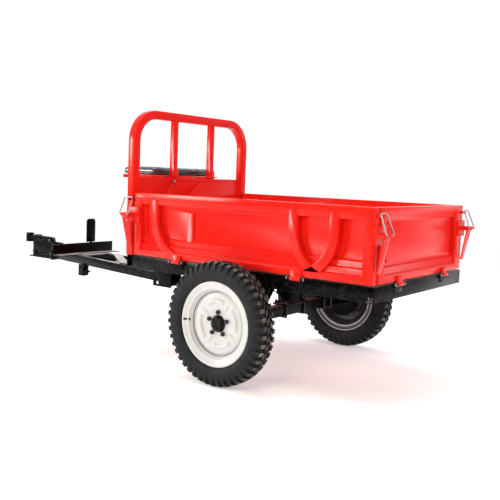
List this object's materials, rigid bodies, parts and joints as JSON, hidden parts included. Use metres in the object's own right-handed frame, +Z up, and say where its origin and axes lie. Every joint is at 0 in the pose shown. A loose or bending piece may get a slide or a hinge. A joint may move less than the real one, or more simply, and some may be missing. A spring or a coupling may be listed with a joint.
{
  "type": "tow behind cart",
  "caption": "Two-wheeled tow-behind cart with a red drop-side load bed, guard hoop and seat at the front, and a black A-frame drawbar with a swivelling tow eye.",
  "frame": {"origin": "on the ground under the middle of the cart's length and width", "axes": "+X forward to the tow eye, +Y to the cart's left, +Z up"},
  "size_m": [2.835, 1.184, 1.214],
  "materials": {
    "red_paint": "glossy red enamel over pressed sheet",
    "black_paint": "semi-gloss black enamel",
    "rim_paint": "silver-white enamel",
    "cap_paint": "gloss black enamel",
    "cast_drum": "as cast, painted dark",
    "zinc_steel": "zinc plated",
    "tyre_rubber": "moulded rubber",
    "seat_vinyl": "glossy black grained vinyl"
  },
  "bodies": {
    "chassis": {"side_rails": "black_paint", "end_beams": "black_paint", "chassis_stringers": "black_paint", "floor_joists": "black_paint", "bed_floor": "red_paint", "front_wall": "red_paint", "guard_hoop": "red_paint", "guard_bars": "red_paint", "seat_frame": "red_paint", "seat_cushion": "seat_vinyl", "seat_bolts": "zinc_steel", "frame_fittings": "black_paint", "hinge_pins": "zinc_steel", "axle_beam": "black_paint", "brake_back_plates": "black_paint", "axle_seats": "black_paint", "axle_u_bolts": "zinc_steel", "drawbar_rail_left": "black_paint", "drawbar_rail_right": "black_paint", "drawbar_ties": "black_paint", "footrest_angle": "black_paint", "drawbar_hangers": "black_paint", "stand_socket": "black_paint", "hitch_plates": "black_paint", "hitch_bush": "black_paint", "hitch_bolts": "zinc_steel", "brake_brackets": "black_paint"},
    "wheel_left": {"tyre_left": "tyre_rubber", "rim_left": "rim_paint", "hub_drum_left": "cast_drum", "hub_cap_left": "cap_paint", "lug_nuts_left": "zinc_steel"},
    "side_left": {"side_panel_left": "red_paint", "side_ribs_left": "red_paint", "side_fittings_left": "red_paint"},
    "wheel_right": {"tyre_right": "tyre_rubber", "rim_right": "rim_paint", "hub_drum_right": "cast_drum", "hub_cap_right": "cap_paint", "lug_nuts_right": "zinc_steel"},
    "side_right": {"side_panel_right": "red_paint", "side_ribs_right": "red_paint", "side_fittings_right": "red_paint"},
    "tailgate": {"tailgate": "red_paint", "tail_fittings": "red_paint"},
    "lever_front_left": {"latch_lever_front_left": "red_paint"},
    "bail_front_left": {"latch_bail_front_left": "zinc_steel"},
    "lever_front_right": {"latch_lever_front_right": "red_paint"},
    "bail_front_right": {"latch_bail_front_right": "zinc_steel"},
    "lever_rear_left": {"latch_lever_rear_left": "red_paint"},
    "bail_rear_left": {"latch_bail_rear_left": "zinc_steel"},
    "lever_rear_right": {"latch_lever_rear_right": "red_paint"},
    "bail_rear_right": {"latch_bail_rear_right": "zinc_steel"},
    "tow_eye": {"tow_eye": "black_paint", "tow_eye_nut": "zinc_steel"},
    "brake_pedal": {"brake_pedal": "black_paint"},
    "pedal_rod": {"pedal_rod": "zinc_steel"},
    "brake_shaft": {"brake_shaft": "black_paint"},
    "pull_rods": {"brake_pull_rods": "zinc_steel"},
    "cam_levers": {"brake_cam_levers": "black_paint"}
  },
  "joints": [
    {"name": "wheel_left_spin", "type": "hinge", "parent": "chassis", "child": "wheel_left", "pos_m": [-0.6875, 0.542, 0.27], "axis": [0, 1, 0], "continuous": true},
    {"name": "side_left_drop", "type": "hinge", "parent": "chassis", "child": "side_left", "pos_m": [-0.6725, 0.4523, 0.492], "axis": [-1, 0, 0], "range_deg": [0, 45]},
    {"name": "wheel_right_spin", "type": "hinge", "parent": "chassis", "child": "wheel_right", "pos_m": [-0.6875, -0.542, 0.27], "axis": [0, 1, 0], "continuous": true},
    {"name": "side_right_drop", "type": "hinge", "parent": "chassis", "child": "side_right", "pos_m": [-0.6725, -0.4523, 0.492], "axis": [1, 0, 0], "range_deg": [0, 45]},
    {"name": "tailgate_drop", "type": "hinge", "parent": "chassis", "child": "tailgate", "pos_m": [-1.3693, 0, 0.492], "axis": [0, -1, 0], "range_deg": [0, 105]},
    {"name": "latch_front_left_open", "type": "hinge", "parent": "side_left", "child": "lever_front_left", "pos_m": [-0.0315, 0.488, 0.7], "axis": [1, 0, 0], "range_deg": [0, 110]},
    {"name": "bail_front_left_swing", "type": "hinge", "parent": "lever_front_left", "child": "bail_front_left", "pos_m": [-0.0315, 0.501, 0.7], "axis": [1, 0, 0], "range_deg": [-144, 0]},
    {"name": "latch_front_right_open", "type": "hinge", "parent": "side_right", "child": "lever_front_right", "pos_m": [-0.0315, -0.488, 0.7], "axis": [-1, 0, 0], "range_deg": [0, 110]},
    {"name": "bail_front_right_swing", "type": "hinge", "parent": "lever_front_right", "child": "bail_front_right", "pos_m": [-0.0315, -0.501, 0.7], "axis": [-1, 0, 0], "range_deg": [-144, 0]},
    {"name": "latch_rear_left_open", "type": "hinge", "parent": "tailgate", "child": "lever_rear_left", "pos_m": [-1.3985, 0.424, 0.7], "axis": [0, 1, 0], "range_deg": [0, 110]},
    {"name": "bail_rear_left_swing", "type": "hinge", "parent": "lever_rear_left", "child": "bail_rear_left", "pos_m": [-1.4115, 0.424, 0.7], "axis": [0, 1, 0], "range_deg": [-144, 0]},
    {"name": "latch_rear_right_open", "type": "hinge", "parent": "tailgate", "child": "lever_rear_right", "pos_m": [-1.3985, -0.424, 0.7], "axis": [0, 1, 0], "range_deg": [0, 110]},
    {"name": "bail_rear_right_swing", "type": "hinge", "parent": "lever_rear_right", "child": "bail_rear_right", "pos_m": [-1.4115, -0.424, 0.7], "axis": [0, 1, 0], "range_deg": [-144, 0]},
    {"name": "tow_eye_swivel", "type": "hinge", "parent": "chassis", "child": "tow_eye", "pos_m": [1.3035, 0, 0.453], "axis": [1, 0, 0], "range_deg": [-45, 45]},
    {"name": "brake_pedal_press", "type": "hinge", "parent": "chassis", "child": "brake_pedal", "pos_m": [0.9195, -0.108, 0.372], "axis": [0, 1, 0], "range_deg": [0, 14], "stiffness_Nm_per_rad": 12},
    {"name": "pedal_rod_pivot", "type": "hinge", "parent": "brake_pedal", "child": "pedal_rod", "pos_m": [0.9195, -0.119, 0.317], "axis": [0, 1, 0], "range_deg": [-15, 0]},
    {"name": "brake_shaft_turn", "type": "hinge", "parent": "chassis", "child": "brake_shaft", "pos_m": [-0.5375, 0, 0.372], "axis": [0, 1, 0], "range_deg": [0, 15]},
    {"name": "pull_rods_pivot", "type": "hinge", "parent": "brake_shaft", "child": "pull_rods", "pos_m": [-0.5375, 0, 0.427], "axis": [0, 1, 0], "range_deg": [-15, 0]},
    {"name": "cam_levers_turn", "type": "hinge", "parent": "chassis", "child": "cam_levers", "pos_m": [-0.6875, 0, 0.34], "axis": [0, 1, 0], "range_deg": [0, 15]}
  ],
  "couplings": [
    {"joint": "bail_front_left_swing", "follows": "latch_front_left_open", "ratio": -1.3},
    {"joint": "bail_front_right_swing", "follows": "latch_front_right_open", "ratio": -1.3},
    {"joint": "bail_rear_left_swing", "follows": "latch_rear_left_open", "ratio": -1.3},
    {"joint": "bail_rear_right_swing", "follows": "latch_rear_right_open", "ratio": -1.3},
    {"joint": "pedal_rod_pivot", "follows": "brake_pedal_press", "ratio": -1},
    {"joint": "brake_shaft_turn", "follows": "brake_pedal_press", "ratio": 1},
    {"joint": "pull_rods_pivot", "follows": "brake_pedal_press", "ratio": -1},
    {"joint": "cam_levers_turn", "follows": "brake_pedal_press", "ratio": 1}
  ]
}
